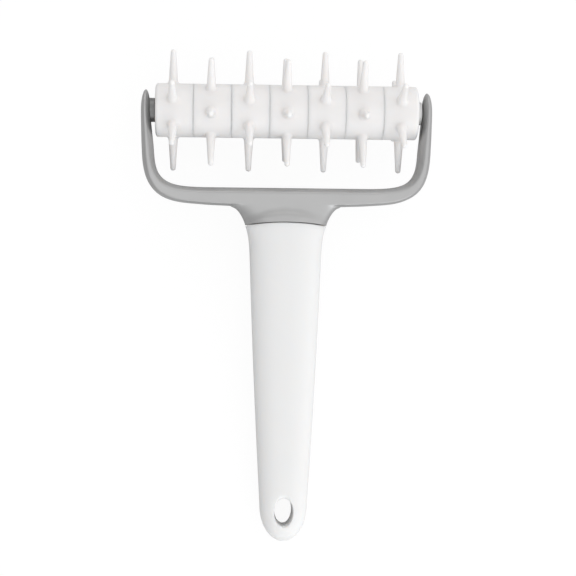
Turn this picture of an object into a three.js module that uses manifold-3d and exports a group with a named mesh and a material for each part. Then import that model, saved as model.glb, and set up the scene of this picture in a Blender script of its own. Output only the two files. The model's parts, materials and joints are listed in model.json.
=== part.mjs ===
// Dough docker: a roller of spiked rings that turns between the arms of a fork, on a long handle.
// Lengths are in millimetres. The tool is drawn flat, with its origin on the roller's axle:
// +X runs along the axle, +Y points away from the handle and +Z out of the front face.
// At the end of the file it is tipped until it lies on a table, on its spikes and its handle.
import * as THREE from 'three';
import { mergeVertices } from 'three/addons/utils/BufferGeometryUtils.js';
import Module from 'manifold-3d';

const wasm = await Module();
wasm.setup();

// Clearances and the overrun of every cut
const clearance = 0.3;
const cutOverrun = 1;

// Spiked rings
const ringCount = 7;
const rollerLength = 107;
const ringGap = 0.1;
const ringRadius = 11.2;
const ringWall = 2.4;
const ringRimBevel = 0.15;
const rollerEndRounding = 1.1;
const rollerEndDrop = 1.9;
const ringSegments = 36;
const spikesPerRing = 6;
const spikeSides = 8;
const spikeReach = 24.7;
const spikeRootRadius = 2.4;
const spikeShankRadius = 1.85;
const spikeTipRadius = 1.2;
const spikeRootSink = 1.2;

// Core and end caps of the roller
const coreWall = 1.8;
const capFlangeThickness = 1.5;
const capFlangeLip = 0.7;
const capPlugLength = 9;
const capHubRadius = 3.5;

// Axle rod
const rodRadius = 2;
const rodSeatDepth = 3;
const roundSegments = 24;

// Fork: arms and crossbar
const bossHeight = 1.2;
const bossWall = 2.6;
const armThickness = 4.4;
const armShoulderThickness = 5.3;
const armTipRise = 8.4;
const armDepth = 15;
const armStraightLength = 3;
const cornerWidth = 36.4;
const crossbarGap = 6.5;
const crossbarEndThickness = 6.9;
const crossbarThickness = 7.4;
const crossbarDepth = 13;
const outerCornerExponent = 4.1;
const innerCornerExponent = 5.3;
const barSectionExponent = 2.6;
const barSectionSides = 16;
const armTipThinningExponent = 1.1;
const armTipAngles = [82, 66, 48, 32, 16].map(THREE.MathUtils.degToRad);

// Fork: neck and tang
const neckLength = 7.9;
const neckFlare = 6;
const collarOverhang = 0.25;
const collarLength = 3.4;
const neckSunkShare = 0.97;
const jointArch = 1.1;
const tangLength = 52;
const tangRibHeight = 0.6;
const tangRibLength = 1.5;
const tangRibInset = 10;

// Handle
const handleLength = 128.9;
const handleTopWidth = 30.4;
const handleTopFlare = 1.75;
const handleFlareLength = 14;
const handleEndWidth = 19.4;
const handleBulge = 0.4;
const handleEndLength = 14.6;
const handleTopDepth = 17;
const handleEndDepth = 13.5;
const handleEndRounding = 7;
const handleWall = 4;
const handleSectionExponent = 2.5;
const handleSectionSides = 32;
const handleEndAngles = [18, 32, 44, 55, 65, 74, 82].map(THREE.MathUtils.degToRad);
const hangHoleWidth = 7.4;
const hangHoleLength = 11.3;
const hangHoleRim = 1;
const hangHoleFromEnd = 12.6;
const restFlatDepth = 0.5;

// Sizes that follow from the ones above
const rollerHalfLength = rollerLength / 2;
const ringLength = (rollerLength - (ringCount - 1) * ringGap) / ringCount;
const pocketRadius = ringRadius - ringWall;
const pocketDepth = capFlangeThickness + clearance;
const flangeRadius = pocketRadius - clearance;
const boreCornerRadius = flangeRadius - capFlangeLip;
const coreSides = 6;
const coreCornerRadius = boreCornerRadius - clearance / Math.cos(Math.PI / coreSides);
const coreBoreRadius = coreCornerRadius * Math.cos(Math.PI / coreSides) - coreWall;
const plugRadius = coreBoreRadius - clearance;
const capBoreRadius = rodRadius + clearance;
const armInnerX = rollerHalfLength + clearance + bossHeight;
const armOuterX = armInnerX + armThickness;
const crossbarTopY = -(spikeReach + crossbarGap);
const crossbarBottomY = crossbarTopY - crossbarThickness;
const jointY = crossbarBottomY - neckLength;
const handleTopY = jointY - clearance;
const handleEndY = handleTopY - handleLength;
const socketEndY = handleTopY - tangLength - clearance;
const hangHoleY = handleEndY + hangHoleFromEnd;
const rowAngle = Math.PI * 2 / spikesPerRing;

// Colours and finishes
const greyPlastic = new THREE.MeshStandardMaterial({ color: 0xacadae, roughness: 0.45, metalness: 0 });
const whitePlastic = new THREE.MeshStandardMaterial({ color: 0xf0f0ef, roughness: 0.4, metalness: 0 });
const milkyPlastic = new THREE.MeshStandardMaterial({ color: 0xeeecea, roughness: 0.35, metalness: 0 });
const innerPlastic = new THREE.MeshStandardMaterial({ color: 0xd9d9d6, roughness: 0.5, metalness: 0 });
const steel = new THREE.MeshStandardMaterial({ color: 0xb8bbbf, roughness: 0.3, metalness: 1 });

// A closed geometry, with its shared corners merged, as a solid that can be joined and cut.
function solid(geometry) {
  const bare = geometry.index ? geometry.toNonIndexed() : geometry.clone();
  bare.deleteAttribute('normal');
  bare.deleteAttribute('uv');
  const merged = mergeVertices(bare);
  const corners = merged.index.array;
  const triVerts = [];
  for (let i = 0; i < corners.length; i += 3) {
    const [a, b, c] = corners.slice(i, i + 3);
    if (a !== b && b !== c && c !== a) triVerts.push(a, b, c);
  }
  return new wasm.Manifold(new wasm.Mesh({
    numProp: 3,
    vertProperties: merged.attributes.position.array,
    triVerts: new Uint32Array(triVerts),
  }));
}

// The surface of a solid, as a geometry with flat faces.
function surface(body) {
  const mesh = body.getMesh();
  const geometry = new THREE.BufferGeometry();
  geometry.setAttribute('position', new THREE.BufferAttribute(mesh.vertProperties, mesh.numProp));
  geometry.setIndex(new THREE.BufferAttribute(mesh.triVerts, 1));
  const flat = geometry.toNonIndexed();
  flat.computeVertexNormals();
  return flat;
}

function piece(name, body, material) {
  const mesh = new THREE.Mesh(surface(body), material);
  mesh.name = name;
  return mesh;
}

// A closed skin over a row of rings with equal numbers of points, with a fan over each end. Its
// faces are turned over where the row runs the other way.
function skin(rings) {
  const sides = rings[0].length;
  const hub = (ring) => ring.reduce((sum, p) => sum.add(p), new THREE.Vector3()).divideScalar(sides);
  const points = [...rings.flat(), hub(rings[0]), hub(rings.at(-1))];
  const firstHub = points.length - 2;
  const lastHub = points.length - 1;
  const lastRing = (rings.length - 1) * sides;
  const faces = [];
  for (let j = 0; j < sides; j += 1) {
    const next = (j + 1) % sides;
    faces.push(firstHub, next, j, lastHub, lastRing + j, lastRing + next);
    for (let i = 0; i < rings.length - 1; i += 1) {
      const here = i * sides;
      const there = here + sides;
      faces.push(here + j, here + next, there + next, here + j, there + next, there + j);
    }
  }
  const sixfold = (i) => points[faces[i]].dot(points[faces[i + 1]].clone().cross(points[faces[i + 2]]));
  const volume = faces.reduce((sum, _, i) => (i % 3 === 0 ? sum + sixfold(i) : sum), 0);
  if (volume < 0) faces.reverse();
  const geometry = new THREE.BufferGeometry();
  geometry.setAttribute('position', new THREE.Float32BufferAttribute(points.flatMap((p) => p.toArray()), 3));
  geometry.setIndex(faces);
  return solid(geometry);
}

// A point of a superellipse with the given half axes, an ellipse drawn out towards its corners.
function superellipse(angle, halfWidth, halfHeight, exponent) {
  const stretch = (value) => Math.sign(value) * Math.abs(value) ** (2 / exponent);
  return [halfWidth * stretch(Math.cos(angle)), halfHeight * stretch(Math.sin(angle))];
}

function around(count, place) {
  return Array.from({ length: count }, (_, i) => place(i * Math.PI * 2 / count));
}

// A cylinder with its axis along X, from one place to another.
function rodAlongX(radius, fromX, toX, segments) {
  const cylinder = new THREE.CylinderGeometry(radius, radius, toX - fromX, segments);
  cylinder.rotateZ(-Math.PI / 2);
  cylinder.translate((fromX + toX) / 2, 0, 0);
  return solid(cylinder);
}

// A hexagonal prism along X, turned about it by an angle.
function keyAlongX(cornerRadius, halfLength, turn) {
  const prism = new THREE.CylinderGeometry(cornerRadius, cornerRadius, halfLength * 2, coreSides);
  prism.rotateZ(-Math.PI / 2);
  prism.rotateX(turn);
  return solid(prism);
}

// One moulded spike along +Z: a filleted root, a tapering shank and a blunt round tip.
function spike() {
  const shankStart = ringRadius + spikeRootRadius - spikeShankRadius;
  const tipStart = spikeReach - spikeTipRadius;
  const middle = (shankStart + tipStart) / 2;
  const profile = [
    new THREE.Vector2(0, ringRadius - spikeRootSink),
    new THREE.Vector2(spikeRootRadius, ringRadius - spikeRootSink),
    new THREE.Vector2(spikeRootRadius, ringRadius),
    new THREE.Vector2(spikeShankRadius, shankStart),
    new THREE.Vector2((spikeShankRadius * 2 + spikeTipRadius) / 3, middle),
    new THREE.Vector2(spikeTipRadius, tipStart),
    new THREE.Vector2(spikeTipRadius * Math.SQRT1_2, tipStart + spikeTipRadius * Math.SQRT1_2),
    new THREE.Vector2(0, spikeReach),
  ];
  const lathe = new THREE.LatheGeometry(profile, spikeSides);
  lathe.rotateX(Math.PI / 2);
  return lathe;
}

// A ring: a short tube with six spikes and a bore of two crossed hexagons, so that it fits the
// core in two ways, half a spike apart. The first and the last ring have an outer side, whose
// rim is rounded and whose face has a pocket for a cap's flange.
function spikedRing(outerSide) {
  const half = ringLength / 2;
  const roundShare = 1 - Math.SQRT1_2;
  const plainEnd = (side) => [
    new THREE.Vector2(ringRadius - ringRimBevel, side * half),
    new THREE.Vector2(ringRadius, side * (half - ringRimBevel)),
  ];
  const roundedEnd = (side) => [
    new THREE.Vector2(ringRadius - rollerEndDrop, side * half),
    new THREE.Vector2(
      ringRadius - rollerEndDrop * roundShare,
      side * (half - rollerEndRounding * roundShare),
    ),
    new THREE.Vector2(ringRadius, side * (half - rollerEndRounding)),
  ];
  const end = (side) => (side === outerSide ? roundedEnd(side) : plainEnd(side));
  const profile = [
    new THREE.Vector2(0, -half),
    ...end(-1),
    ...end(1).reverse(),
    new THREE.Vector2(0, half),
  ];
  const drum = new THREE.LatheGeometry(profile, ringSegments);
  drum.rotateZ(-Math.PI / 2);
  let ring = solid(drum);
  for (let i = 0; i < spikesPerRing; i += 1) {
    ring = ring.add(solid(spike().rotateX(i * rowAngle)));
  }
  for (const turn of [0, rowAngle / 2]) {
    ring = ring.subtract(keyAlongX(boreCornerRadius, half + cutOverrun, turn));
  }
  if (outerSide !== 0) {
    const floor = outerSide * (half - pocketDepth);
    const mouth = outerSide * (half + cutOverrun);
    const pocket = rodAlongX(pocketRadius, Math.min(floor, mouth), Math.max(floor, mouth), ringSegments);
    ring = ring.subtract(pocket);
  }
  return ring;
}

// The hexagonal tube that the rings are keyed on.
function rollerCore() {
  const halfLength = rollerHalfLength - pocketDepth;
  const tube = keyAlongX(coreCornerRadius, halfLength, 0);
  const cutLength = halfLength + cutOverrun;
  return tube.subtract(rodAlongX(coreBoreRadius, -cutLength, cutLength, roundSegments));
}

// An end cap: a plug in the end of the core, with a flange that keeps the rings on. Its bore is
// the bearing that turns on the axle rod. On the right the cap has a hub that reaches to the arm.
function endCap(hubHeight) {
  const outerX = rollerHalfLength;
  const hubX = outerX + hubHeight;
  const flangeX = outerX - capFlangeThickness;
  const plugX = flangeX - capPlugLength;
  const plug = rodAlongX(plugRadius, plugX, flangeX, roundSegments);
  const flange = rodAlongX(flangeRadius, flangeX, outerX, ringSegments);
  const hub = rodAlongX(capHubRadius, flangeX, hubX, roundSegments);
  const bore = rodAlongX(capBoreRadius, plugX - cutOverrun, hubX + cutOverrun, roundSegments);
  return plug.add(flange).add(hub).subtract(bore);
}

function axleRod() {
  const halfLength = armInnerX + rodSeatDepth - clearance;
  return rodAlongX(rodRadius, -halfLength, halfLength, roundSegments);
}

// A ring of points across the bar of the fork, between a point of its outer edge and one of its
// inner edge, both in the plane of the fork.
function barSection(outer, inner, depth, widthShare, depthShare) {
  const middle = outer.clone().add(inner).divideScalar(2);
  const across = outer.clone().sub(inner).divideScalar(2);
  return around(barSectionSides, (angle) => {
    const [u, z] = superellipse(angle, widthShare, depth / 2 * depthShare, barSectionExponent);
    return new THREE.Vector3(middle.x + across.x * u, middle.y + across.y * u, z);
  });
}

// Sections of half the fork's bar, from the rounded tip of an arm, round the corner and along
// the crossbar to its middle.
function halfBarSections(side) {
  const edge = (x, y) => new THREE.Vector3(side * x, y, 0);
  const sections = [];
  for (const angle of armTipAngles) {
    const y = armTipRise * Math.sin(angle);
    const depthShare = Math.cos(angle);
    const widthShare = depthShare ** armTipThinningExponent;
    sections.push(barSection(edge(armOuterX, y), edge(armInnerX, y), armDepth, widthShare, depthShare));
  }
  sections.push(barSection(edge(armOuterX, 0), edge(armInnerX, 0), armDepth, 1, 1));
  const cornerX = armOuterX - cornerWidth;
  const outerHeight = crossbarEndThickness - crossbarTopY - armStraightLength;
  const innerHeight = -crossbarTopY - armStraightLength;
  const innerWidth = cornerWidth - armShoulderThickness;
  const cornerSteps = 10;
  for (let i = 0; i <= cornerSteps; i += 1) {
    const angle = i / cornerSteps * Math.PI / 2;
    const [outX, outY] = superellipse(angle, cornerWidth, outerHeight, outerCornerExponent);
    const [inX, inY] = superellipse(angle, innerWidth, innerHeight, innerCornerExponent);
    const outer = edge(cornerX + outX, -armStraightLength - outY);
    const inner = edge(cornerX + inX, -armStraightLength - inY);
    const depth = THREE.MathUtils.lerp(armDepth, crossbarDepth, Math.sin(angle) ** 2);
    sections.push(barSection(outer, inner, depth, 1, 1));
  }
  return sections;
}

// A ring of points across the neck, tang or handle, at a height y. The arch lifts its middle.
function gripSection(y, halfWidth, halfDepth, arch) {
  return around(handleSectionSides, (angle) => {
    const [x, z] = superellipse(angle, halfWidth, halfDepth, handleSectionExponent);
    return new THREE.Vector3(x, y + arch * (1 - (x / halfWidth) ** 2), z);
  });
}

// Half the handle's width and depth at a height y, without the flare at its top.
function gripHalfWidth(y) {
  const endStartY = handleEndY + handleEndLength;
  const share = THREE.MathUtils.clamp((handleTopY - y) / (handleTopY - endStartY), 0, 1);
  const taper = THREE.MathUtils.lerp(handleTopWidth, handleEndWidth, share) / 2;
  const belly = handleBulge * Math.sin(Math.PI * share);
  const past = THREE.MathUtils.clamp((endStartY - y) / handleEndLength, 0, 1);
  return (taper + belly) * Math.sqrt(1 - past ** 2);
}

function gripHalfDepth(y) {
  const endStartY = handleEndY + handleEndRounding;
  const share = THREE.MathUtils.clamp((handleTopY - y) / (handleTopY - endStartY), 0, 1);
  const past = THREE.MathUtils.clamp((endStartY - y) / handleEndRounding, 0, 1);
  return THREE.MathUtils.lerp(handleTopDepth, handleEndDepth, share) / 2 * Math.sqrt(1 - past ** 2);
}

// The neck flares out of the handle's collar into the underside of the crossbar.
function neck() {
  const collarHalfWidth = handleTopWidth / 2 + handleTopFlare + collarOverhang;
  const collarHalfDepth = handleTopDepth / 2 + collarOverhang;
  const sunkHalfDepth = crossbarDepth / 2 * neckSunkShare;
  const crossbarMiddleY = (crossbarTopY + crossbarBottomY) / 2;
  const steps = 6;
  const sections = [];
  for (let i = 0; i <= steps; i += 1) {
    const share = 1 - i / steps;
    const y = jointY + neckLength * share;
    const halfWidth = collarHalfWidth + neckFlare * (1 - Math.sqrt(1 - share ** 2));
    const rise = THREE.MathUtils.smoothstep(jointY + neckLength - y, 0, neckLength - collarLength);
    const halfDepth = THREE.MathUtils.lerp(sunkHalfDepth, collarHalfDepth, rise);
    sections.push(gripSection(y, halfWidth, halfDepth, jointArch * (1 - share)));
  }
  const widest = collarHalfWidth + neckFlare;
  sections.unshift(gripSection(crossbarMiddleY, widest, sunkHalfDepth, 0));
  return skin(sections);
}

// The tang fills the handle's socket, and a rib round it snaps into a groove there. With a
// margin, the same shape cuts the socket.
function tang(startY, endY, margin) {
  const ribY = handleTopY - tangLength + tangRibInset;
  const section = (y, rib) => {
    const halfWidth = gripHalfWidth(y) - handleWall - clearance + margin + rib;
    const halfDepth = gripHalfDepth(y) - handleWall - clearance + margin + rib;
    return gripSection(y, halfWidth, halfDepth, 0);
  };
  const halfRib = tangRibLength / 2 + margin;
  return skin([
    section(startY, 0),
    section(ribY + halfRib + tangRibHeight, 0),
    section(ribY + halfRib, tangRibHeight),
    section(ribY - halfRib, tangRibHeight),
    section(ribY - halfRib - tangRibHeight, 0),
    section(endY, 0),
  ]);
}

// The fork is one moulding: two arms, crossbar, neck and tang. Each arm has a blind bore for the
// axle rod. A boss surrounds the left one, and the right one has a flat seat for the cap's hub.
function fork() {
  const crossbarMiddle = barSection(
    new THREE.Vector3(0, crossbarBottomY, 0),
    new THREE.Vector3(0, crossbarTopY, 0),
    crossbarDepth, 1, 1,
  );
  let body = skin([...halfBarSections(-1), crossbarMiddle, ...halfBarSections(1).reverse()]);
  body = body.add(neck());
  body = body.add(tang(jointY + collarLength, handleTopY - tangLength, 0));
  const boreRadius = rodRadius + clearance;
  const bossX = armInnerX - bossHeight;
  const armMiddleX = armInnerX + armThickness / 2;
  body = body.add(rodAlongX(boreRadius + bossWall, -armMiddleX, -bossX, roundSegments));
  const mouthX = bossX - cutOverrun;
  const seatX = armInnerX + rodSeatDepth;
  body = body.subtract(rodAlongX(boreRadius, -seatX, -mouthX, roundSegments));
  body = body.subtract(rodAlongX(capHubRadius + clearance, mouthX, armInnerX, roundSegments));
  return body.subtract(rodAlongX(boreRadius, mouthX, seatX, roundSegments));
}

// The handle is a tapered moulding with a flared top, a socket for the tang and a hang hole
// through its rounded end.
function handle() {
  const flareSteps = 4;
  const taperSteps = 5;
  const sections = [];
  for (let i = 0; i < flareSteps; i += 1) {
    const share = i / flareSteps;
    const y = handleTopY - handleFlareLength * share;
    const flare = handleTopFlare * (1 - share) ** 3;
    const arch = jointArch * Math.max(0, 1 - share * flareSteps);
    sections.push(gripSection(y, gripHalfWidth(y) + flare, gripHalfDepth(y), arch));
  }
  const taperTopY = handleTopY - handleFlareLength;
  const endStartY = handleEndY + handleEndLength;
  for (let i = 0; i <= taperSteps; i += 1) {
    const y = THREE.MathUtils.lerp(taperTopY, endStartY, i / taperSteps);
    sections.push(gripSection(y, gripHalfWidth(y), gripHalfDepth(y), 0));
  }
  for (const angle of handleEndAngles) {
    const y = endStartY - handleEndLength * Math.sin(angle);
    sections.push(gripSection(y, gripHalfWidth(y), gripHalfDepth(y), 0));
  }
  const socket = tang(handleTopY + jointArch + cutOverrun, socketEndY, clearance);
  return skin(sections).subtract(socket).subtract(hangHole());
}

// The cutter of the hang hole, an oval that opens out at both faces of the handle.
function hangHole() {
  const faceZ = gripHalfDepth(hangHoleY);
  const waist = hangHoleWidth / 2;
  const profile = [
    new THREE.Vector2(0, -faceZ - cutOverrun),
    new THREE.Vector2(waist + hangHoleRim + cutOverrun, -faceZ - cutOverrun),
    new THREE.Vector2(waist, -faceZ + hangHoleRim),
    new THREE.Vector2(waist, faceZ - hangHoleRim),
    new THREE.Vector2(waist + hangHoleRim + cutOverrun, faceZ + cutOverrun),
    new THREE.Vector2(0, faceZ + cutOverrun),
  ];
  const cutter = new THREE.LatheGeometry(profile, roundSegments);
  cutter.rotateX(Math.PI / 2);
  cutter.scale(1, hangHoleLength / hangHoleWidth, 1);
  cutter.translate(0, hangHoleY, 0);
  return solid(cutter);
}

// The lowest point of a solid turned about the axle by an angle.
function lowestZ(body, angle) {
  const points = surface(body).attributes.position;
  const spot = new THREE.Vector3();
  const turn = new THREE.Matrix4().makeRotationX(angle);
  let lowest = Infinity;
  for (let i = 0; i < points.count; i += 1) {
    lowest = Math.min(lowest, spot.fromBufferAttribute(points, i).applyMatrix4(turn).z);
  }
  return lowest;
}

// At rest the roller stands on two rows of spikes, one on each side below the axle, and the
// handle slopes down to its end. The slope is found by halving.
const rollerTurn = rowAngle / 4;
const plainRing = spikedRing(0);
const axleHeight = -lowestZ(plainRing, rollerTurn);
const handleBody = handle();
let flattest = 0;
let steepest = Math.PI / 6;
const slopeHalvings = 40;
for (let i = 0; i < slopeHalvings; i += 1) {
  const slope = (flattest + steepest) / 2;
  if (lowestZ(handleBody, slope) > -axleHeight - restFlatDepth) flattest = slope;
  else steepest = slope;
}
const slope = (flattest + steepest) / 2;

// The small flat under the handle's end that it rests on is cut level with the table.
function restFlat() {
  const block = new THREE.BoxGeometry(handleTopWidth, handleLength, axleHeight);
  block.translate(0, handleEndY + handleLength / 4, -axleHeight * 3 / 2);
  block.rotateX(-slope);
  return solid(block);
}

const root = new THREE.Group();
root.add(piece('fork', fork(), greyPlastic));
root.add(piece('handle', handleBody.subtract(restFlat()), whitePlastic));
root.add(piece('axle_rod', axleRod(), steel));

const roller = new THREE.Group();
roller.rotation.x = rollerTurn - slope;
roller.add(piece('roller_core', rollerCore(), innerPlastic));
const leftCap = piece('end_cap_left', endCap(0), innerPlastic);
leftCap.rotation.y = Math.PI;
roller.add(leftCap);
roller.add(piece('end_cap_right', endCap(bossHeight), innerPlastic));
for (let i = 0; i < ringCount; i += 1) {
  const outerSide = { 0: -1, [ringCount - 1]: 1 }[i] ?? 0;
  const body = outerSide === 0 ? plainRing : spikedRing(outerSide);
  const ring = piece(`spiked_ring_${i + 1}`, body, milkyPlastic);
  ring.position.x = (i - (ringCount - 1) / 2) * (ringLength + ringGap);
  ring.rotation.x = i % 2 === 0 ? -rowAngle / 2 : 0;
  roller.add(ring);
}

// The whole tool, tipped by its slope and centred over the origin with the table at z = 0
const docker = new THREE.Group();
docker.add(root, roller);
docker.rotation.x = slope;
docker.position.z = axleHeight;
docker.updateMatrixWorld(true);
const box = new THREE.Box3().setFromObject(docker, true);
docker.position.y = -(box.min.y + box.max.y) / 2;
docker.updateMatrixWorld(true);

export default docker;
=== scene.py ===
import json
import math
import bmesh
import bpy
from mathutils import Matrix, Vector


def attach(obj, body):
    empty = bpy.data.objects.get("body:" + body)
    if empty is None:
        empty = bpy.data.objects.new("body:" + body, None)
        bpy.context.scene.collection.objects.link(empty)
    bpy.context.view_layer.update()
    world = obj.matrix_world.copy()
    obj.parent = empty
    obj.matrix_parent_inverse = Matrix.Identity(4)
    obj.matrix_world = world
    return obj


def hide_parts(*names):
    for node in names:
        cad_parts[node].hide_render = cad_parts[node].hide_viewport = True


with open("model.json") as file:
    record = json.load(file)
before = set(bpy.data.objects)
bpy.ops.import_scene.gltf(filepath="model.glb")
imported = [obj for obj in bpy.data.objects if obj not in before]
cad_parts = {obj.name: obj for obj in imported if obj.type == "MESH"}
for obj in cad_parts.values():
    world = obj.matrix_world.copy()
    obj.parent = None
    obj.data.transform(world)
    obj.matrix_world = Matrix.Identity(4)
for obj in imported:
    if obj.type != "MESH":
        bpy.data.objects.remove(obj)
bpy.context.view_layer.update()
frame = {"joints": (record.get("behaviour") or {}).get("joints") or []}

# Fork: one satin grey moulding with arms, crossbar and a flared neck whose tang fills the handle's
# socket. The axle rod sits in blind bores of the arms. Beside the roller's ends the grey is painted
# darker as painted shade. It is drawn flat, in millimetres from the axle, then tipped onto the table.
mm = 0.001
slope = math.radians(6.0291)
axle = Vector(frame["joints"][0]["pos_m"])
tool_place = Matrix.Translation(axle) @ Matrix.Rotation(slope, 4, "X") @ Matrix.Scale(mm, 4)
clearance = 0.3
overrun = 1
arm_inner_x = 55
arm_outer_x = 59
arm_splay = 0.35
arm_thinning = 1.5
arm_splay_length = 18
arm_shoulder = 4.9
arm_depth = 15
arm_tip_rise = 8.4
arm_straight = 3
corner_width = 36
outer_corner_exponent = 4.35
inner_corner_exponent = 5.3
crossbar_top_y = -31.4
crossbar_end_thickness = 6.6
crossbar_thickness = 7.7
crossbar_depth = 13
crossbar_bow = 0.6
crossbar_bow_end = 40
crossbar_bow_length = 17
inner_bevel = 2
arm_bevel = 1.75
crossbar_bevel = 0.4
inner_round = 0.55
most_bevel = 0.62
most_slant = 0.9
tip_thinning = 1.1
tip_end_angle = 88
tip_start_angle = 6
tip_steps = 14
corner_steps = 44

crossbar_bottom_y = crossbar_top_y - crossbar_thickness
neck_length = 7.4
neck_flare = 3.4
neck_slant = 2.2
neck_steps = 24
collar_rise = 0.5
collar_edge = 0.4
collar_edge_arch = 4.7
collar_edge_width = 2.2
joint_y = crossbar_bottom_y - neck_length
joint_arch = 1.25
grip_exponent = 2.5
neck_top_exponent = 5.5
grip_sides = 96
handle_top_width = 30.2
handle_top_flare = 1.4
handle_top_depth = 16
collar_overhang = 0.1
collar_half_width = handle_top_width / 2 + handle_top_flare + collar_overhang
collar_half_depth = handle_top_depth / 2 + collar_overhang
neck_sink = 0.03
sunk_half_depth = crossbar_depth / 2 - neck_sink

boss_height = 1.2
boss_radius = 4.9
boss_bevel = 0.15
boss_sides = 64
rod_radius = 2
rod_seat = 3
round_sides = 48
fork_voxel = 0.36
fork_softness = 0.5
fork_smoothings = 6

tang_length = 52
tang_top_width = 21.8
tang_top_depth = 8.4
tang_end_width = 17.6
tang_end_depth = 6.9
tang_rib_height = 0.6
tang_rib_length = 1.5
tang_rib_from_end = 10
tang_rib_y = joint_y - tang_length + tang_rib_from_end


def squared_oval(angle, half_width, half_height, exponent):
    across, along = [
        math.copysign(abs(share) ** (2 / exponent), share)
        for share in (math.cos(angle), math.sin(angle))
    ]
    return half_width * across, half_height * along


def between(start, end, share):
    return start + (end - start) * share


def eased(share):
    share = min(max(share, 0), 1)
    return share * share * (3 - 2 * share)


def turns(count):
    return [2 * math.pi * i / count for i in range(count)]


def loop_of(bm, spots):
    corners = bmesh.ops.create_circle(bm, segments=len(spots), radius=1)["verts"]
    corners = sorted(corners, key=lambda corner: math.atan2(corner.co.y, corner.co.x))
    for corner, spot in zip(corners, spots):
        corner.co = spot
    return corners


def loop_edges(corners):
    members = set(corners)
    edges = [e for v in corners for e in v.link_edges if e.other_vert(v) in members]
    return list(dict.fromkeys(edges))


def loft(bm, rings, closed=True):
    loops = [loop_of(bm, ring) for ring in rings]
    edges = [loop_edges(loop) for loop in loops]
    for here, there in zip(edges, edges[1:]):
        bmesh.ops.bridge_loops(bm, edges=here + there)
    if closed:
        bmesh.ops.contextual_create(bm, geom=edges[0])
        bmesh.ops.contextual_create(bm, geom=edges[-1])
    return loops


# The spots around a bar run across from its inner side (-1) to its outer side (1), and in depth from
# its back (-1) to its front (1).
def bar_ring(outer, inner, depth, outer_bevel, width_share=1, depth_share=1):
    middle = (outer + inner) / 2
    across = (outer - inner) / 2 * width_share
    width = (outer - inner).length
    bevel = min(outer_bevel / width * 2, most_bevel)
    slant = min(inner_bevel / width * 2, most_slant)
    front_inner = [(-1, 0), (-1, 0.6)] + [
        (slant * share - 1, height)
        for share, height in ((0.1, 0.69), (0.5, 0.83), (0.9, 0.96), (1.1, 0.995))
    ]
    front_outer = [(1 - bevel * share, height) for share, height in ((1, 1), (0.5, 0.86), (0.1, 0.65))]
    back_outer = [(1, 0.45), (1, 0), (1, -0.5), (1 - bevel * 0.5, -0.86), (1 - bevel, -1)]
    back_inner = [
        (inner_round * share - 1, -height)
        for share, height in ((1, 0.96), (1 / 2, 0.8), (1 / 4, 0.6), (1 / 16, 0.3))
    ]
    half_depth = depth / 2 * depth_share
    return [
        middle + across * share + Vector((0, 0, half_depth * height))
        for share, height in front_inner + front_outer + back_outer + back_inner
    ]


def half_bar(side):
    def splayed(x, y, splay=arm_splay):
        return Vector((side * (x + splay * eased(1 + y / arm_splay_length)), y, 0))

    rings = []
    inner_x = arm_outer_x - arm_shoulder
    for i in range(tip_steps):
        angle = math.radians(between(tip_end_angle, tip_start_angle, i / (tip_steps - 1)))
        depth_share = math.cos(angle)
        y = arm_tip_rise * math.sin(angle)
        outer, inner = splayed(arm_outer_x, y), splayed(inner_x, y, arm_thinning)
        width_share = depth_share ** tip_thinning
        rings.append(bar_ring(outer, inner, arm_depth, arm_bevel, width_share, depth_share))
    outer, inner = splayed(arm_outer_x, 0), splayed(inner_x, 0, arm_thinning)
    rings.append(bar_ring(outer, inner, arm_depth, arm_bevel))
    corner_x = arm_outer_x - corner_width
    outer_height = crossbar_end_thickness - crossbar_top_y - arm_straight
    inner_height = -crossbar_top_y - arm_straight
    inner_width = corner_width - arm_shoulder
    for i in range(corner_steps + 1):
        angle = i / corner_steps * math.pi / 2
        out_x, out_y = squared_oval(angle, corner_width, outer_height, outer_corner_exponent)
        in_x, in_y = squared_oval(angle, inner_width, inner_height, inner_corner_exponent)
        bow = crossbar_bow * eased((crossbar_bow_end - corner_x - out_x) / crossbar_bow_length)
        outer = splayed(corner_x + out_x, -arm_straight - out_y - bow)
        inner = splayed(corner_x + in_x, -arm_straight - in_y, arm_thinning)
        share = math.sin(angle) ** 2
        bevel = between(arm_bevel, crossbar_bevel, share)
        rings.append(bar_ring(outer, inner, between(arm_depth, crossbar_depth, share), bevel))
    return rings


def round_ring(x, radius, count):
    return [Vector((x, radius * math.cos(a), radius * math.sin(a))) for a in turns(count)]


def grip_ring(y, half_width, half_depth, arch=0, exponent=grip_exponent):
    ring = []
    for angle in turns(grip_sides):
        x, z = squared_oval(angle, half_width, half_depth, exponent)
        ring.append(Vector((x, y + arch * (1 - (x / half_width) ** 2), z)))
    return ring


def neck_depth(x, y):
    edge = joint_y + collar_edge + collar_edge_arch * (1 - (x / collar_half_width) ** 2)
    slope_top = max(edge, joint_y) + collar_edge_width
    share = min(max((slope_top - y) / (slope_top - joint_y), 0), 1)
    scoop = between(sunk_half_depth, collar_half_depth - collar_rise, share)
    return scoop + collar_rise * eased((edge - y) / collar_edge_width + 0.5)


def neck_ring(y, half_width, arch, exponent=grip_exponent):
    ring = grip_ring(y, half_width, 1, arch, exponent)
    for spot in ring:
        spot.z *= neck_depth(spot.x, spot.y)
    return ring


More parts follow.
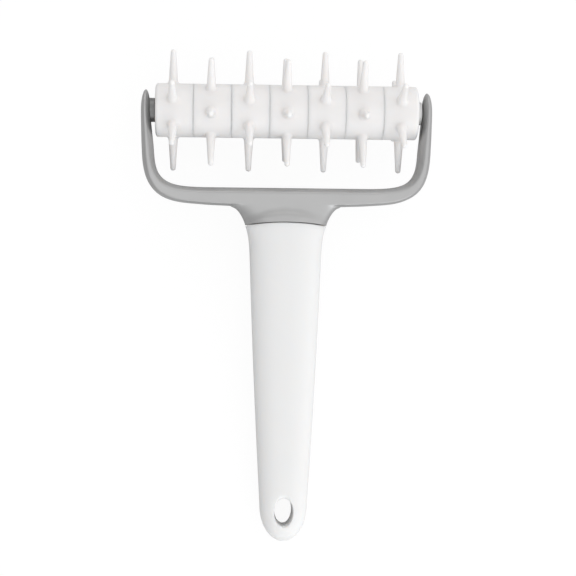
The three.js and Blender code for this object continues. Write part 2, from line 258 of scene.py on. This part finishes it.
def neck_rings():
    crossbar_middle_y = (crossbar_top_y + crossbar_bottom_y) / 2
    widest = collar_half_width + neck_slant + neck_flare
    rings = [grip_ring(crossbar_middle_y, widest, sunk_half_depth, 0, neck_top_exponent)]
    for i in range(neck_steps + 1):
        share = 1 - i / neck_steps
        half_width = collar_half_width + neck_slant * share
        half_width += neck_flare * (1 - math.sqrt(1 - share ** 2))
        exponent = between(grip_exponent, neck_top_exponent, share)
        y, arch = joint_y + neck_length * share, joint_arch * (1 - share)
        rings.append(neck_ring(y, half_width, arch, exponent))
    rings.append(neck_ring(joint_y - 2 * overrun, collar_half_width, joint_arch))
    return rings


def tang_rings(start_y, margin):
    rings = []
    rib_near, rib_far = tang_rib_length / 2 + margin, tang_rib_length / 2 + margin + tang_rib_height
    for y, rib in (
        (start_y, 0), (tang_rib_y + rib_far, 0), (tang_rib_y + rib_near, tang_rib_height),
        (tang_rib_y - rib_near, tang_rib_height), (tang_rib_y - rib_far, 0),
        (joint_y - tang_length - margin, 0),
    ):
        share = (joint_y - y) / tang_length
        half_width = between(tang_top_width, tang_end_width, share) / 2 + margin + rib
        half_depth = between(tang_top_depth, tang_end_depth, share) / 2 + margin + rib
        rings.append(grip_ring(y, half_width, half_depth))
    return rings


weld_distance = 0.0005
sharp_angle = math.radians(38)


def spun(bm, profile, steps):
    spots = [bm.verts.new((x, 0, radius)) for x, radius in profile]
    edges = [bm.edges.new(pair) for pair in zip(spots, spots[1:])]
    bmesh.ops.spin(
        bm, geom=spots + edges, cent=(0, 0, 0), axis=(1, 0, 0), dvec=(0, 0, 0),
        angle=2 * math.pi, steps=steps, use_merge=True, use_duplicate=False,
    )
    bmesh.ops.remove_doubles(bm, verts=bm.verts, dist=weld_distance)


def shown(name, bm):
    bmesh.ops.recalc_face_normals(bm, faces=bm.faces)
    mesh = bpy.data.meshes.new(name)
    bm.to_mesh(mesh)
    bm.free()
    piece = bpy.data.objects.new(name, mesh)
    bpy.context.scene.collection.objects.link(piece)
    return piece


def settle(piece):
    bpy.context.view_layer.update()
    graph = bpy.context.evaluated_depsgraph_get()
    mesh = bpy.data.meshes.new_from_object(piece.evaluated_get(graph))
    piece.modifiers.clear()
    piece.data = mesh
    return piece


def combine(piece, bm, operation):
    other = shown("other", bm)
    boolean = piece.modifiers.new("combine", "BOOLEAN")
    boolean.operation = operation
    boolean.solver = "EXACT"
    boolean.object = other
    settle(piece)
    bpy.data.objects.remove(other)


def fitted(piece, place, body, slot, material, *nodes):
    piece.data.transform(place)
    piece.data.materials.clear()
    piece.data.materials.append(material)
    piece.data.shade_smooth()
    piece.data.set_sharp_from_angle(angle=sharp_angle)
    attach(piece, body)
    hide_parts(*nodes)
    return piece


cloud_scale = 70
cloud_dullness = 0.12
wave_scale = 260
wave_height = 3


def moulded_finish():
    group = bpy.data.node_groups.new("moulded finish", "ShaderNodeTree")
    for name, kind, value in (
        ("Tone", "NodeSocketColor", (0.5, 0.5, 0.5, 1)),
        ("Clouded Tone", "NodeSocketColor", (0.4, 0.4, 0.4, 1)),
        ("Roughness", "NodeSocketFloat", 0.4),
        ("Grain Size", "NodeSocketFloat", 2500),
    ):
        group.interface.new_socket(name, in_out="INPUT", socket_type=kind).default_value = value
    for name, kind in (
        ("Color", "NodeSocketColor"),
        ("Roughness", "NodeSocketFloat"),
        ("Height", "NodeSocketFloat"),
    ):
        group.interface.new_socket(name, in_out="OUTPUT", socket_type=kind)
    add = group.nodes.new
    link = group.links.new
    given, result = add("NodeGroupInput"), add("NodeGroupOutput")
    where = add("ShaderNodeTexCoord")

    clouds = add("ShaderNodeTexNoise")
    clouds.inputs["Scale"].default_value = cloud_scale
    clouds.inputs["Detail"].default_value = 3
    link(where.outputs["Object"], clouds.inputs["Vector"])
    tone = add("ShaderNodeMix")
    tone.data_type = "RGBA"
    link(clouds.outputs["Fac"], tone.inputs["Factor"])
    link(given.outputs["Tone"], tone.inputs["A"])
    link(given.outputs["Clouded Tone"], tone.inputs["B"])
    link(tone.outputs["Result"], result.inputs["Color"])

    grain = add("ShaderNodeTexNoise")
    grain.inputs["Detail"].default_value = 2
    link(given.outputs["Grain Size"], grain.inputs["Scale"])
    link(where.outputs["Object"], grain.inputs["Vector"])
    polish = add("ShaderNodeMath")
    polish.operation = "MULTIPLY_ADD"
    polish.inputs[1].default_value = cloud_dullness
    link(clouds.outputs["Fac"], polish.inputs[0])
    link(given.outputs["Roughness"], polish.inputs[2])
    link(polish.outputs[0], result.inputs["Roughness"])

    waves = add("ShaderNodeTexNoise")
    waves.inputs["Scale"].default_value = wave_scale
    waves.inputs["Detail"].default_value = 1
    link(where.outputs["Object"], waves.inputs["Vector"])
    height = add("ShaderNodeMath")
    height.operation = "MULTIPLY_ADD"
    height.inputs[1].default_value = wave_height
    link(waves.outputs["Fac"], height.inputs[0])
    link(grain.outputs["Fac"], height.inputs[2])
    link(height.outputs[0], result.inputs["Height"])
    return group


moulded = moulded_finish()


def moulded_plastic(
    name, tone, clouded, roughness, grain_size, bump_mm, ior, metal=0, milkiness=0, milk_mm=1
):
    material = bpy.data.materials.new(name)
    material.use_nodes = True
    nodes, link = material.node_tree.nodes, material.node_tree.links.new
    surface = nodes["Principled BSDF"]
    finish = nodes.new("ShaderNodeGroup")
    finish.node_tree = moulded
    finish.inputs["Tone"].default_value = (*tone, 1)
    finish.inputs["Clouded Tone"].default_value = (*clouded, 1)
    finish.inputs["Roughness"].default_value = roughness
    finish.inputs["Grain Size"].default_value = grain_size
    relief = nodes.new("ShaderNodeBump")
    relief.inputs["Strength"].default_value = 1
    relief.inputs["Distance"].default_value = bump_mm * mm
    link(finish.outputs["Color"], surface.inputs["Base Color"])
    link(finish.outputs["Roughness"], surface.inputs["Roughness"])
    link(finish.outputs["Height"], relief.inputs["Height"])
    link(relief.outputs["Normal"], surface.inputs["Normal"])
    surface.inputs["IOR"].default_value = ior
    surface.inputs["Metallic"].default_value = metal
    surface.inputs["Subsurface Weight"].default_value = milkiness
    surface.inputs["Subsurface Radius"].default_value = (1, 0.95, 0.9)
    surface.inputs["Subsurface Scale"].default_value = milk_mm * mm
    return material


bm = bmesh.new()
crossbar_middle = bar_ring(
    Vector((0, crossbar_bottom_y, 0)), Vector((0, crossbar_top_y, 0)), crossbar_depth, crossbar_bevel
)
loft(bm, [*half_bar(-1), crossbar_middle, *reversed(half_bar(1))])
loft(bm, neck_rings())
fork = shown("fork_moulding", bm)
remesh = fork.modifiers.new("blend", "REMESH")
remesh.mode = "VOXEL"
remesh.voxel_size = fork_voxel
soften = fork.modifiers.new("soften", "SMOOTH")
soften.factor = fork_softness
soften.iterations = fork_smoothings
settle(fork)

bm = bmesh.new()
below = joint_y - 4 * overrun
arch_steps = 48
reach = collar_half_width + overrun
arch = []
for i in range(arch_steps + 1):
    x = between(-reach, reach, i / arch_steps)
    y = joint_y + joint_arch * (1 - (x / collar_half_width) ** 2)
    arch.append(bm.verts.new((x, y, -collar_half_width)))
arch += [bm.verts.new((x, below, -collar_half_width)) for x in (reach, -reach)]
front = bm.faces.new(arch)
risen = bmesh.ops.extrude_face_region(bm, geom=[front])["geom"]
bmesh.ops.translate(
    bm, verts=[v for v in risen if isinstance(v, bmesh.types.BMVert)], vec=(0, 0, 2 * collar_half_width)
)
combine(fork, bm, "DIFFERENCE")

bm = bmesh.new()
loft(bm, tang_rings(joint_y + 4 * overrun, 0))
loft(bm, [
    round_ring(x, radius, boss_sides) for x, radius in (
        (-(arm_inner_x + arm_outer_x) / 2, boss_radius),
        (boss_height - boss_bevel - arm_inner_x, boss_radius),
        (boss_height - arm_inner_x, boss_radius - boss_bevel),
    )
])
combine(fork, bm, "UNION")

bm = bmesh.new()
bore_radius = rod_radius + clearance
for side in (-1, 1):
    mouth_x, seat_x = side * (arm_inner_x - boss_height - overrun), side * (arm_inner_x + rod_seat)
    loft(bm, [round_ring(x, bore_radius, round_sides) for x in (mouth_x, seat_x)])
combine(fork, bm, "DIFFERENCE")

# Painted shade: two soft patches at the arms' inner sides and bosses, beside the roller's ends, where
# the roller shades the slot. There the grey is multiplied darker.
painted_shade_x = 54.8
painted_shade_y = -2
painted_shade_reach = Vector((3.8, 15, 10))
painted_shade_tone = (0.52, 0.52, 0.52, 1)
painted_shade_start = 0.1
painted_shade_full = 0.45


def paint_shade_beside_roller(material):
    nodes, link = material.node_tree.nodes, material.node_tree.links.new
    where = nodes.new("ShaderNodeTexCoord")
    either = nodes.new("ShaderNodeMath")
    either.operation = "MAXIMUM"
    for socket, side in zip(either.inputs, (-1, 1)):
        centre = tool_place @ Vector((side * painted_shade_x, painted_shade_y, 0))
        around = nodes.new("ShaderNodeMapping")
        for axis in range(3):
            scale = 1 / (painted_shade_reach[axis] * mm)
            around.inputs["Scale"].default_value[axis] = scale
            around.inputs["Location"].default_value[axis] = -centre[axis] * scale
        patch = nodes.new("ShaderNodeTexGradient")
        patch.gradient_type = "SPHERICAL"
        link(where.outputs["Object"], around.inputs["Vector"])
        link(around.outputs["Vector"], patch.inputs["Vector"])
        link(patch.outputs["Fac"], socket)
    share = nodes.new("ShaderNodeMapRange")
    share.interpolation_type = "SMOOTHSTEP"
    share.inputs["From Min"].default_value = painted_shade_start
    share.inputs["From Max"].default_value = painted_shade_full
    link(either.outputs[0], share.inputs["Value"])
    darker = nodes.new("ShaderNodeMix")
    darker.data_type = "RGBA"
    darker.blend_type = "MULTIPLY"
    darker.inputs["B"].default_value = painted_shade_tone
    link(share.outputs["Result"], darker.inputs["Factor"])
    link(nodes["Group"].outputs["Color"], darker.inputs["A"])
    link(darker.outputs["Result"], nodes["Principled BSDF"].inputs["Base Color"])


grey_plastic = moulded_plastic(
    "satin grey plastic", tone=(0.46, 0.46, 0.46), clouded=(0.43, 0.43, 0.43), roughness=0.33,
    grain_size=2600, bump_mm=0.012, ior=1.49, metal=0.6,
)
# This paints the shade beside the roller's ends into the grey's colour.
paint_shade_beside_roller(grey_plastic)
fitted(fork, tool_place, "handle_and_fork", "fork_plastic", grey_plastic, "fork")

# Handle: a long tapered moulding of satin white plastic, flared at the top, where its arched rim
# closes on the fork's collar. The rounded end has an oval hang hole with a soft rim, and the
# socket inside takes the fork's tang.
handle_length = 128.8
handle_flare_length = 14
handle_end_width = 19.4
handle_bulge = 0.4
handle_end_length = 14.6
handle_end_depth = 13.5
handle_end_rounding = 7
handle_rim_radius = 0.45
handle_top_y = joint_y - clearance
handle_end_y = handle_top_y - handle_length
end_start_y = handle_end_y + handle_end_length
handle_rim_steps = 5
handle_taper_steps = 56
handle_end_steps = 34
arch_fade = 3.5
hole_width = 7.4
hole_length = 11.5
hole_rim = 1.1
hole_draft = 0.22
hole_sides = 96
hole_from_end = 12.3
hole_y = handle_end_y + hole_from_end


def grip_half_width(y):
    share = min(max((handle_top_y - y) / (handle_top_y - end_start_y), 0), 1)
    taper = between(handle_top_width, handle_end_width, share) / 2
    belly = handle_bulge * math.sin(math.pi * share)
    past = min(max((end_start_y - y) / handle_end_length, 0), 1)
    return (taper + belly) * math.sqrt(1 - past ** 2)


def grip_half_depth(y):
    rounding_y = handle_end_y + handle_end_rounding
    share = min(max((handle_top_y - y) / (handle_top_y - rounding_y), 0), 1)
    past = min(max((rounding_y - y) / handle_end_rounding, 0), 1)
    return between(handle_top_depth, handle_end_depth, share) / 2 * math.sqrt(1 - past ** 2)


def flare(depth):
    return handle_top_flare * max(0, 1 - depth / handle_flare_length) ** 3


def grip_face(x, y):
    share = min(abs(x) / grip_half_width(y), 1)
    return grip_half_depth(y) * (1 - share ** grip_exponent) ** (1 / grip_exponent)


bm = bmesh.new()
rings = []
rings += reversed(tang_rings(handle_top_y - 2 * overrun, clearance))
rings.append(grip_ring(
    handle_top_y, tang_top_width / 2 + clearance, tang_top_depth / 2 + clearance, joint_arch
))
for i in range(handle_rim_steps + 1):
    angle = i / handle_rim_steps * math.pi / 2
    inset = handle_rim_radius * (1 - math.sin(angle))
    drop = handle_rim_radius * (1 - math.cos(angle))
    half_width = grip_half_width(handle_top_y) + handle_top_flare - inset
    half_depth = grip_half_depth(handle_top_y) - inset
    arch_left = joint_arch * (1 - drop / arch_fade)
    rings.append(grip_ring(handle_top_y - drop, half_width, half_depth, arch_left))
depths = [0.8, 1.2, 1.8, 2.6, 3.5, 4.5, 5.5, 7, 8.5, 10, 12, handle_flare_length]
taper_length = handle_top_y - end_start_y - handle_flare_length
for i in range(handle_taper_steps):
    depths.append(handle_flare_length + taper_length * (i + 1) / handle_taper_steps)
for depth in depths:
    y = handle_top_y - depth
    arch_left = joint_arch * max(0, 1 - depth / arch_fade)
    rings.append(grip_ring(y, grip_half_width(y) + flare(depth), grip_half_depth(y), arch_left))
for i in range(1, handle_end_steps):
    y = end_start_y - handle_end_length * math.sin(i / handle_end_steps * math.pi / 2)
    rings.append(grip_ring(y, grip_half_width(y), grip_half_depth(y)))
loft(bm, rings)
handle = shown("handle_moulding", bm)

bm = bmesh.new()
waist = hole_width / 2
face_z = grip_half_depth(hole_y)
rim_angles = [math.radians(a) for a in (0, 15, 30, 45, 60, 72)]
upper = [
    (waist + hole_rim * (1 - math.cos(a)), face_z - hole_rim * (1 - math.sin(a)))
    for a in rim_angles
]
upper.append((upper[-1][0] + 2 * overrun, upper[-1][1] + 2 * overrun))
profile = [(r, -z) for r, z in reversed(upper)] + upper
loops = []
for radius, z in profile:
    ring = []
    for angle in turns(hole_sides):
        x = (radius + hole_draft * z / face_z) * math.cos(angle)
        y = hole_y + radius * math.sin(angle) * hole_length / hole_width
        ring.append(Vector((x, y, z + math.copysign(grip_face(x, y) - face_z, z))))
    loops.append(ring)
loft(bm, loops)
combine(handle, bm, "DIFFERENCE")

white_plastic = moulded_plastic(
    "satin white plastic", tone=(0.85, 0.85, 0.848), clouded=(0.83, 0.83, 0.83), roughness=0.45,
    grain_size=2200, bump_mm=0.01, ior=1.45, milkiness=1, milk_mm=2.5,
)
handle.data.transform(tool_place)
cut_tolerance = 0.001 * mm
bm = bmesh.new()
bm.from_mesh(handle.data)
bottom = bmesh.ops.bisect_plane(
    bm, geom=bm.verts[:] + bm.edges[:] + bm.faces[:], dist=cut_tolerance,
    plane_co=(0, 0, 0), plane_no=(0, 0, -1), clear_outer=True,
)["geom_cut"]
bmesh.ops.holes_fill(bm, edges=[e for e in bottom if isinstance(e, bmesh.types.BMEdge)], sides=0)
bm.to_mesh(handle.data)
bm.free()
fitted(handle, Matrix.Identity(4), "handle_and_fork", "handle_plastic", white_plastic, "handle")

# Axle rod: a bright drawn steel rod with chamfered ends. Each end sits in the blind bore of an arm of
# the fork.
rod_half_length = arm_inner_x + rod_seat - clearance
rod_chamfer = 0.3
bm = bmesh.new()
spun(bm, [
    (-rod_half_length, 0),
    (-rod_half_length, rod_radius - rod_chamfer),
    (-rod_half_length + rod_chamfer, rod_radius),
    (rod_half_length - rod_chamfer, rod_radius),
    (rod_half_length, rod_radius - rod_chamfer),
    (rod_half_length, 0),
], round_sides)


drawn_lines = (40, 6000, 6000)


def drawn_steel():
    material = bpy.data.materials.new("drawn steel")
    material.use_nodes = True
    nodes, link = material.node_tree.nodes, material.node_tree.links.new
    surface = nodes["Principled BSDF"]
    where, along = nodes.new("ShaderNodeTexCoord"), nodes.new("ShaderNodeMapping")
    along.inputs["Scale"].default_value = drawn_lines
    link(where.outputs["Object"], along.inputs["Vector"])
    lines = nodes.new("ShaderNodeTexNoise")
    lines.inputs["Scale"].default_value = 1
    link(along.outputs["Vector"], lines.inputs["Vector"])
    dullness = nodes.new("ShaderNodeMapRange")
    dullness.inputs["To Min"].default_value = 0.18
    dullness.inputs["To Max"].default_value = 0.4
    link(lines.outputs["Fac"], dullness.inputs["Value"])
    link(dullness.outputs["Result"], surface.inputs["Roughness"])
    relief = nodes.new("ShaderNodeBump")
    relief.inputs["Distance"].default_value = 0.004 * mm
    link(lines.outputs["Fac"], relief.inputs["Height"])
    link(relief.outputs["Normal"], surface.inputs["Normal"])
    surface.inputs["Base Color"].default_value = (0.55, 0.56, 0.57, 1)
    surface.inputs["Metallic"].default_value = 1
    return material


fitted(shown("axle", bm), tool_place, "handle_and_fork", "rod_steel", drawn_steel(), "axle_rod")

# Roller core: a hexagonal tube of off-white plastic on which the rings are keyed, so that they
# turn as one roller. The roller lies with two rows of spikes on the table.
roller_turn = math.radians(15)
roller_place = Matrix.Translation(axle) @ Matrix.Rotation(roller_turn, 4, "X") @ Matrix.Scale(mm, 4)
roller_half_length = 53.5
ring_count = 7
ring_gap = 0.04
ring_pitch = 15.44
ring_radius = 10.9
pocket_radius = 8.8
pocket_depth = 1.8
flange_radius = pocket_radius - clearance
flange_lap = 0.7
key_corner_radius = flange_radius - flange_lap
core_corner_radius = key_corner_radius - clearance / math.cos(math.pi / 6)
core_wall = 1.8
core_bore_radius = core_corner_radius * math.cos(math.pi / 6) - core_wall
core_half_length = roller_half_length - pocket_depth
bore_chamfer = 0.05


def hexagon_reach(angle, corner_radius):
    return corner_radius * math.cos(math.pi / 6) / math.cos(angle % (math.pi / 3) - math.pi / 6)


def around_axle(x, reach_at, count):
    return [
        Vector((x, reach_at(a) * math.cos(a), reach_at(a) * math.sin(a))) for a in turns(count)
    ]


def core_outside(angle):
    return hexagon_reach(angle, core_corner_radius)


def core_bore(angle):
    return core_bore_radius


bm = bmesh.new()
loops = loft(bm, [
    around_axle(-core_half_length, core_outside, round_sides),
    around_axle(core_half_length, core_outside, round_sides),
    around_axle(core_half_length - bore_chamfer, core_bore, round_sides),
    around_axle(bore_chamfer - core_half_length, core_bore, round_sides),
], closed=False)
bmesh.ops.bridge_loops(bm, edges=loop_edges(loops[-1]) + loop_edges(loops[0]))
inner_plastic = moulded_plastic(
    "off-white plastic", tone=(0.84, 0.84, 0.83), clouded=(0.81, 0.81, 0.8), roughness=0.45,
    grain_size=1800, bump_mm=0.015, ior=1.49, milkiness=0.5, milk_mm=2,
)
fitted(shown("core_tube", bm), roller_place, "roller", "core_plastic", inner_plastic, "roller_core")

# End caps: off-white plugs pressed into the ends of the core. A flange with a raised rim keeps the
# rings on, and the bore turns on the axle rod. The right one has a hub that reaches to the arm.
cap_thickness = 1.5
cap_plug_length = 9
cap_bore = rod_radius + clearance
plug_radius = core_bore_radius - clearance
cap_bevel = 0.2
hub_radius = 4.7
hub_height = 1.7
dish_depth = 0.5
dish_edge = 1.2
dish_foot = 1.5
cap_sides = 72
for side, name, hub_length in ((-1, "left", 0), (1, "right", hub_height)):
    outer_x = roller_half_length
    hub_x = outer_x + hub_length
    flange_x = outer_x - cap_thickness
    plug_x = flange_x - cap_plug_length
    bm = bmesh.new()
    spun(bm, [(side * x, radius) for x, radius in (
        (plug_x, cap_bore),
        (plug_x, plug_radius - cap_bevel),
        (plug_x + cap_bevel, plug_radius),
        (flange_x, plug_radius),
        (flange_x, flange_radius),
        (outer_x - cap_bevel, flange_radius),
        (outer_x, flange_radius - cap_bevel),
        (outer_x, flange_radius - dish_edge),
        (outer_x - dish_depth, flange_radius - dish_foot),
        (outer_x - dish_depth, hub_radius),
        (hub_x - cap_bevel, hub_radius),
        (hub_x, hub_radius - cap_bevel),
        (hub_x, cap_bore + cap_bevel),
        (hub_x - cap_bevel, cap_bore),
        (plug_x, cap_bore),
    )], cap_sides)
    cap = shown("cap_" + name, bm)
    fitted(cap, roller_place, "roller", "core_plastic", inner_plastic, "end_cap_" + name)

# Spiked rings: seven milky white mouldings, each a short tube with six blunt spikes and a keyed
# bore. The spikes stand a little left of the ring's middle. Every other ring is turned by half a
# spike. The first and the last have a rounded outer rim and a pocket for the cap's flange.
spikes_per_ring = 6
spike_reach = 24.64
spike_offset = 0.5
patch_sides = 64
patch_steps = 6
patch_start = math.radians(225)
spike_foot = 2.75
shank_radius = 1.8
tip_radius = 1.12
fillet_rise = 1.9
fillet_steps = 7
shank_steps = 6
tip_round_steps = 7
rim_bevel = 0.08
end_rounding = 1.1
end_drop = 1.9
end_round_steps = 6
ring_weld = 0.002
rim_match = 0.01


def keyed_bore(angle):
    corner, flat = [hexagon_reach(a, key_corner_radius) for a in (angle, angle + math.pi / 6)]
    return max(corner, flat)


def spike_profile():
    profile = []
    for i in range(1, fillet_steps + 1):
        angle = i / fillet_steps * math.pi / 2
        radius = shank_radius + (spike_foot - shank_radius) * (1 - math.sin(angle))
        profile.append((radius, fillet_rise * (1 - math.cos(angle))))
    tip_start = spike_reach - ring_radius - tip_radius
    for i in range(1, shank_steps + 1):
        share = i / shank_steps
        height = between(fillet_rise, tip_start, share)
        profile.append((between(shank_radius, tip_radius, share), height))
    for i in range(1, tip_round_steps):
        angle = i / tip_round_steps * math.pi / 2
        profile.append((tip_radius * math.cos(angle), tip_start + tip_radius * math.sin(angle)))
    return profile


def on_drum(x, y, height):
    flattening = eased(height / fillet_rise)
    drum = math.sqrt(ring_radius ** 2 - y ** 2)
    return Vector((x, y, between(drum, ring_radius, flattening) + height))


def ring_sixth(bm, left, right):
    half_turn = math.pi / spikes_per_ring
    per_side = patch_sides // 4
    border = []
    for i in range(per_side):
        border.append((between(left, right, i / per_side), -half_turn))
    for i in range(per_side):
        border.append((right, between(-half_turn, half_turn, i / per_side)))
    for i in range(per_side):
        border.append((between(right, left, i / per_side), half_turn))
    for i in range(per_side):
        border.append((left, between(half_turn, -half_turn, i / per_side)))
    around = [patch_start + a for a in turns(patch_sides)]
    foot = [(spike_foot * math.cos(a), spike_foot * math.sin(a)) for a in around]
    rings = []
    for step in range(patch_steps + 1):
        share = step / patch_steps
        rings.append([
            on_drum(between(bx, fx, share), between(ring_radius * math.sin(turn), fy, share), 0)
            for (bx, turn), (fx, fy) in zip(border, foot)
        ])
    for radius, height in spike_profile():
        rings.append([
            on_drum(radius * math.cos(a), radius * math.sin(a), height)
            for a in around
        ])
    loops = loft(bm, rings, closed=False)
    bmesh.ops.contextual_create(bm, geom=loop_edges(loops[-1]))


def ring_end(bm, side, profile):
    rim_x = side * profile[0][0]
    border = [
        e for e in bm.edges
        if e.is_boundary and all(abs(v.co.x - rim_x) < rim_match for v in e.verts)
    ]
    count = len(border)
    for x, reach in profile[1:]:
        reach_at = reach if callable(reach) else lambda angle: reach
        loop = loop_edges(loop_of(bm, around_axle(side * x, reach_at, count)))
        bmesh.ops.bridge_loops(bm, edges=border + loop)
        border = loop
    return border


def spiked_ring(outer_side):
    ends = {}
    for side in (-1, 1):
        if side != outer_side:
            half = (ring_pitch - ring_gap) / 2 + side * spike_offset
            slant = rim_bevel * (1 - math.sqrt(0.5))
            ends[side] = [
                (half - rim_bevel, ring_radius),
                (half - slant, ring_radius - slant),
                (half, ring_radius - rim_bevel),
                (half - bore_chamfer, keyed_bore),
            ]
            continue
        half = roller_half_length - (ring_count - 1) / 2 * ring_pitch
        ends[side] = [(half - end_rounding, ring_radius)]
        for i in range(1, end_round_steps + 1):
            angle = i / end_round_steps * math.pi / 2
            ends[side].append((
                half - end_rounding * (1 - math.sin(angle)),
                ring_radius - end_drop * (1 - math.cos(angle)),
            ))
        ends[side] += [
            (half, pocket_radius + rim_bevel),
            (half - rim_bevel, pocket_radius),
            (half - pocket_depth, pocket_radius),
            (half - pocket_depth - bore_chamfer, keyed_bore),
        ]
    bm = bmesh.new()
    ring_sixth(bm, -ends[-1][0][0], ends[1][0][0])
    bmesh.ops.spin(
        bm, geom=bm.verts[:] + bm.edges[:] + bm.faces[:], cent=(0, 0, 0), axis=(1, 0, 0),
        dvec=(0, 0, 0), angle=2 * math.pi * (spikes_per_ring - 1) / spikes_per_ring,
        steps=spikes_per_ring - 1, use_merge=False, use_duplicate=True,
    )
    bmesh.ops.remove_doubles(bm, verts=bm.verts, dist=ring_weld)
    mouths = [ring_end(bm, side, ends[side]) for side in (-1, 1)]
    bmesh.ops.bridge_loops(bm, edges=mouths[0] + mouths[1])
    return bm


milky_plastic = moulded_plastic(
    "milky white plastic", tone=(0.885, 0.87, 0.865), clouded=(0.865, 0.85, 0.845), roughness=0.35,
    grain_size=2000, bump_mm=0.012, ior=1.45, milkiness=1, milk_mm=2,
)
for i in range(ring_count):
    outer_side = {0: -1, ring_count - 1: 1}.get(i, 0)
    bm = spiked_ring(outer_side)
    half_step = -math.pi / spikes_per_ring if i % 2 == 0 else 0
    x = (i - (ring_count - 1) / 2) * ring_pitch
    bmesh.ops.transform(
        bm, verts=bm.verts, matrix=Matrix.Translation((x, 0, 0)) @ Matrix.Rotation(half_step, 4, "X")
    )
    ring = shown(f"ring_moulding_{i + 1}", bm)
    fitted(ring, roller_place, "roller", "ring_plastic", milky_plastic, f"spiked_ring_{i + 1}")

# Table: a plain white surface that keeps a faint shadow of the tool. The white room above it gives
# most of the light, and is dimmer at the left.
table_half_width = 3
table_tone = (0.66, 0.66, 0.66, 1)
table_glow = 1.07
table_glow_share = 0.86
bm = bmesh.new()
bmesh.ops.create_grid(bm, x_segments=1, y_segments=1, size=table_half_width)
table = shown("table", bm)
paper = bpy.data.materials.new("white table")
paper.use_nodes = True
nodes, link = paper.node_tree.nodes, paper.node_tree.links.new
nodes["Principled BSDF"].inputs["Base Color"].default_value = table_tone
nodes["Principled BSDF"].inputs["Roughness"].default_value = 0.9
nodes["Principled BSDF"].inputs["Specular IOR Level"].default_value = 0
glow = nodes.new("ShaderNodeEmission")
glow.inputs["Strength"].default_value = table_glow
seen = nodes.new("ShaderNodeLightPath")
white_share = nodes.new("ShaderNodeMath")
white_share.operation = "MULTIPLY"
white_share.inputs[1].default_value = table_glow_share
blend = nodes.new("ShaderNodeMixShader")
link(seen.outputs["Is Camera Ray"], white_share.inputs[0])
link(white_share.outputs[0], blend.inputs["Fac"])
link(nodes["Principled BSDF"].outputs["BSDF"], blend.inputs[1])
link(glow.outputs["Emission"], blend.inputs[2])
link(blend.outputs["Shader"], nodes["Material Output"].inputs["Surface"])
table.data.materials.append(paper)

room_left = 0.49
room_right = 1.12
room_bend = 0.8
room = bpy.data.worlds.new("white room")
bpy.context.scene.world = room
room.use_nodes = True
nodes, link = room.node_tree.nodes, room.node_tree.links.new
nodes["Background"].inputs["Color"].default_value = (1, 1, 1, 1)
towards, parts = nodes.new("ShaderNodeTexCoord"), nodes.new("ShaderNodeSeparateXYZ")
link(towards.outputs["Generated"], parts.inputs["Vector"])
dim_left = nodes.new("ShaderNodeMapRange")
dim_left.inputs["From Min"].default_value = -room_bend
dim_left.inputs["From Max"].default_value = room_bend
dim_left.inputs["To Min"].default_value = room_left
dim_left.inputs["To Max"].default_value = room_right
link(parts.outputs["X"], dim_left.inputs["Value"])
seen = nodes.new("ShaderNodeLightPath")
strength = nodes.new("ShaderNodeMapRange")
strength.inputs["To Max"].default_value = 1
link(dim_left.outputs["Result"], strength.inputs["To Min"])
link(seen.outputs["Is Camera Ray"], strength.inputs["Value"])
link(strength.outputs["Result"], nodes["Background"].inputs["Strength"])

# Lamps: four weak, wide and soft ones that fill in the room's light. One hangs overhead, two stand
# at the near side and one at the far side.
lamp_aim = Vector((0, 0.02, 0.02))


def soft_lamp(name, spot, size, watts, colour):
    lamp = bpy.data.lights.new(name, "AREA")
    lamp.shape = "DISK"
    lamp.size = size
    lamp.energy = watts
    lamp.color = colour
    stand = bpy.data.objects.new(name, lamp)
    bpy.context.scene.collection.objects.link(stand)
    stand.location = spot
    stand.rotation_euler = (lamp_aim - Vector(spot)).to_track_quat("-Z", "Y").to_euler()


soft_lamp("overhead lamp", spot=(0, 0, 1.1), size=0.8, watts=0.8, colour=(1, 1, 1))
soft_lamp("near lamp", spot=(0.25, -0.95, 0.45), size=0.8, watts=2.25, colour=(0.95, 0.98, 1))
soft_lamp("high near lamp", spot=(0.1, -0.6, 0.9), size=0.6, watts=0.4, colour=(1, 1, 1))
soft_lamp("far lamp", spot=(0, 0.95, 0.45), size=0.8, watts=1.1, colour=(1, 0.98, 0.95))

# Camera: a long lens high above the tool, square to its front and a little to the left, where the
# inner side of the right arm shows. The spots are in the tool's own flat millimetres.
eye = Vector((-27.7, -70.3, 634.8))
aim = Vector((1.2, -72.1, 0))
roll = math.radians(0.53)
focal_pixels = 1551.5
picture_width = 576
ahead = (aim - eye).normalized()
level = ahead.cross(Vector((0, 1, 0))).normalized()
above = level.cross(ahead)
right = level * math.cos(roll) + above * math.sin(roll)
up = above * math.cos(roll) - level * math.sin(roll)
facing = Matrix((right, up, -ahead)).transposed().to_4x4()
camera = bpy.data.objects.new("camera", bpy.data.cameras.new("camera"))
bpy.context.scene.collection.objects.link(camera)
camera.matrix_world = (
    Matrix.Translation(tool_place @ eye) @ Matrix.Rotation(slope, 4, "X") @ facing
)
camera.data.sensor_width = 36
camera.data.lens = focal_pixels / picture_width * camera.data.sensor_width
camera.data.clip_start = 0.01
camera.data.clip_end = 20
bpy.context.scene.camera = camera
bpy.context.scene.view_settings.view_transform = "Standard"
